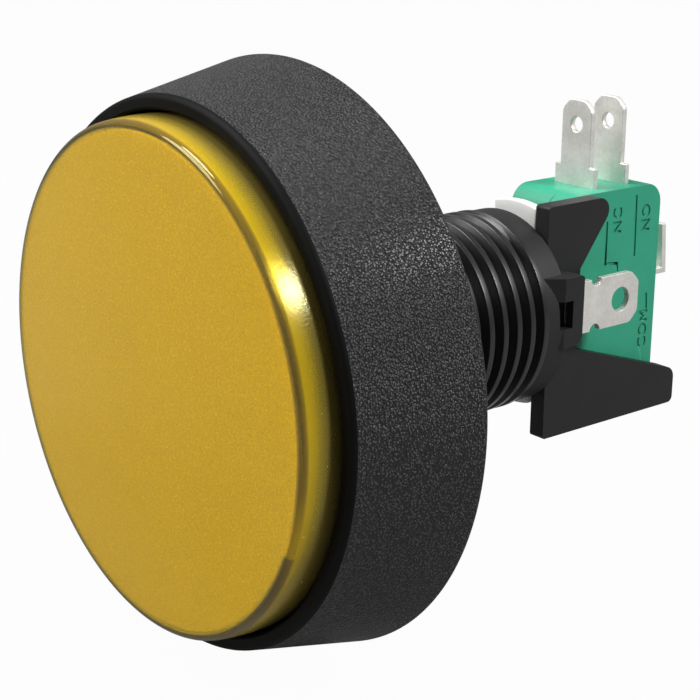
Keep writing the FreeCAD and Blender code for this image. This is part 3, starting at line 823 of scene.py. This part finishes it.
def groove_cutter(points):
    """A chain of narrow blocks along a line on the marked face."""
    bm = bmesh.new()
    half = GROOVE_WIDTH / 2
    for (y0, z0), (y1, z1) in zip(points, points[1:]):
        along = Vector((y1 - y0, z1 - z0)).normalized()
        side = Vector((-along.y, along.x)) * half
        a = Vector((y0, z0)) - along * half
        b = Vector((y1, z1)) + along * half
        corners = [a - side, b - side, b + side, a + side]
        low, high = (
            [bm.verts.new((x * MM, c.x * MM, c.y * MM)) for c in corners]
            for x in (MARK_FACE_X - MARK_DEPTH, MARK_FACE_X + MARK_DEPTH)
        )
        bm.faces.new(low)
        bm.faces.new(high)
        for i in range(4):
            j = (i + 1) % 4
            bm.faces.new((low[i], low[j], high[j], high[i]))
    bmesh.ops.recalc_face_normals(bm, faces=bm.faces)
    return mesh_of(bm, "groove")


def make_cover(material):
    """The marked half of the switch, with its words and grooves cut in."""
    cover = softened("switch_cover", "switch_cover_marked", material, SWITCH_EDGE)
    cutters = [letter_cutter(*mark) for mark in LETTERS]
    cutters += [groove_cutter(points) for points in GROOVES]
    for mesh in cutters:
        tool = bpy.data.objects.new("cutter", mesh)
        bpy.context.scene.collection.objects.link(tool)
        modifier = cover.modifiers.new("mark", "BOOLEAN")
        modifier.operation = "DIFFERENCE"
        modifier.solver = "EXACT"
        modifier.use_self = True
        modifier.object = tool
        applied(cover)
        bpy.data.objects.remove(tool)
        bpy.data.meshes.remove(mesh)
    return weighted(finish_mesh(cover, COVER_SPLIT))


def make_spring(material):
    """A copy of the return spring at one length; the real spring shortens as the button goes in.
    """
    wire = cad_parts["return_spring"].data.copy()
    return finish_mesh(new_piece("return_spring_wire", wire, material), SOLID_SPLIT)


def dress(piece, body, slot, *nodes):
    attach(piece, body)
    if nodes:
        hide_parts(*nodes)


def dress_softened(node, name, material, edge, body, slot):
    dress(weighted(softened(node, name, material, edge)), body, slot, node)


BLACK = housing_black()
RIM = rim_shade_black()
SATIN = holder_black()
AMBER = amber_clear()
MILKY = diffuser_milky()
WHITE = natural_white()
GREEN = switch_green()
TINNED = tinned_tab()
GLASS = lamp_glass()
ALLOY = bare_metal("spring_alloy", ALLOY_BROWNS, rough=0.28, scale=900.0)
SILVER = bare_metal("contact_silver", SILVER_GREYS, rough=0.25, scale=1200.0)
STEEL = bare_metal("spring_wire", STEEL_GREYS, rough=0.22, scale=700.0)

dress(make_housing(BLACK), "base", "black_body", "housing")
dress(make_rim(RIM), "base", "black_body")
dress(make_thread(BLACK), "base", "black_body")
dress(make_lens(AMBER), "button", "amber_lens", "lens_cap")
dress(make_diffuser(MILKY), "button", "diffuser_white", "diffuser")
dress_softened("lamp_holder", "holder_moulding", SATIN, HOLDER_EDGE, "base", "black_holder")
dress_softened("switch_case", "switch_case_moulding", GREEN, SWITCH_EDGE, "base", "green_plastic")
dress(make_cover(GREEN), "base", "green_plastic", "switch_cover")
dress_softened("actuator_bar", "bar_moulding", WHITE, BAR_EDGE, "button", "white_plastic")
for tab in (
    "lamp_terminal_near", "lamp_terminal_far",
    "normally_closed_terminal", "normally_open_terminal", "common_terminal",
):
    dress_softened(tab, tab + "_stamping", TINNED, TAB_EDGE, "base", "plated_tab")

SPRING = make_spring(STEEL)
dress(SPRING, "base", "spring_steel", "return_spring")
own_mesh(SPRING)

# Solids that are shown as they are and only take a material
INSIDE = {
    "plunger": SATIN,
    "switch_plunger": WHITE,
    "lamp_bulb": GLASS,
    "lamp_leads": SILVER,
    "normally_closed_contact": SILVER,
    "normally_open_contact": SILVER,
    "moving_contact": SILVER,
    "moving_blade": ALLOY,
}
for name, material in INSIDE.items():
    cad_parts[name].material_slots[0].material = material


def studio_floor():
    """Pale floor that looks white and keeps a soft shadow."""
    material, p = new_material("studio_floor")
    paper = p.node("ShaderNodeBsdfDiffuse", {}, {"Color": grey(FLOOR_GREY)})
    glow = p.node("ShaderNodeEmission", {}, {"Color": grey(1.0), "Strength": 1.0})
    camera, glance = p.seen()
    share = (camera * FLOOR_WHITE).most(glance * FLOOR_GLANCE)
    p.show(p.node("ShaderNodeMixShader", {}, {0: share, 1: paper, 2: glow}))
    half = FLOOR_HALF_M
    corners = [(-half, -half), (half, -half), (half, half), (-half, half)]
    mesh = bpy.data.meshes.new("studio_floor")
    mesh.from_pydata([(x, y, FLOOR_Z * MM) for x, y in corners], [], [(0, 1, 2, 3)])
    floor = new_piece("studio_floor", mesh, material)


def studio_world():
    """White for the camera, dimmer by way of metal and glass, and a low plain light otherwise."""
    world = bpy.data.worlds.new("studio")
    bpy.context.scene.world = world
    world.use_nodes = True
    p = Paint(world.node_tree)
    camera, glance = p.seen()
    share = camera.most(glance * WORLD_GLANCE)
    strength = WORLD_LEVEL + share * (1.0 - WORLD_LEVEL)
    sky = p.node("ShaderNodeBackground", {}, {"Color": grey(1.0), "Strength": strength})
    p.show(sky, "ShaderNodeOutputWorld")


def softbox(name, place, aim, size, power):
    light = bpy.data.lights.new(name, "AREA")
    light.shape = "DISK"
    light.size = size
    light.energy = power
    lamp = bpy.data.objects.new(name, light)
    bpy.context.scene.collection.objects.link(lamp)
    lamp.location = place
    lamp.rotation_euler = (Vector(aim) - Vector(place)).to_track_quat("-Z", "Y").to_euler()


def photo_camera():
    angles = (CAMERA_AZIMUTH, CAMERA_ELEVATION, CAMERA_ROLL)
    azimuth, elevation, roll = (math.radians(a) for a in angles)
    level = Vector((math.cos(azimuth), math.sin(azimuth), 0))
    outward = Vector((math.sin(azimuth), -math.cos(azimuth), 0))
    back = outward * math.cos(elevation) + Vector((0, 0, math.sin(elevation)))
    rise = back.cross(level)
    right = level * math.cos(roll) + rise * math.sin(roll)
    up = rise * math.cos(roll) - level * math.sin(roll)
    place = (right * CAMERA_SHIFT[0] + up * CAMERA_SHIFT[1] + back * CAMERA_SHIFT[2]) * MM
    data = bpy.data.cameras.new("photo_camera")
    data.lens = CAMERA_FOCAL
    data.sensor_width = SENSOR_WIDTH
    data.clip_start = CAMERA_NEAR * MM
    camera = bpy.data.objects.new("photo_camera", data)
    bpy.context.scene.collection.objects.link(camera)
    turn = Matrix((right, up, back)).transposed().to_4x4()
    camera.matrix_world = Matrix.Translation(place) @ turn
    bpy.context.scene.camera = camera


studio_floor()
studio_world()
for lamp in LAMPS:
    softbox(*lamp)
photo_camera()
bpy.context.scene.view_settings.view_transform = "Standard"
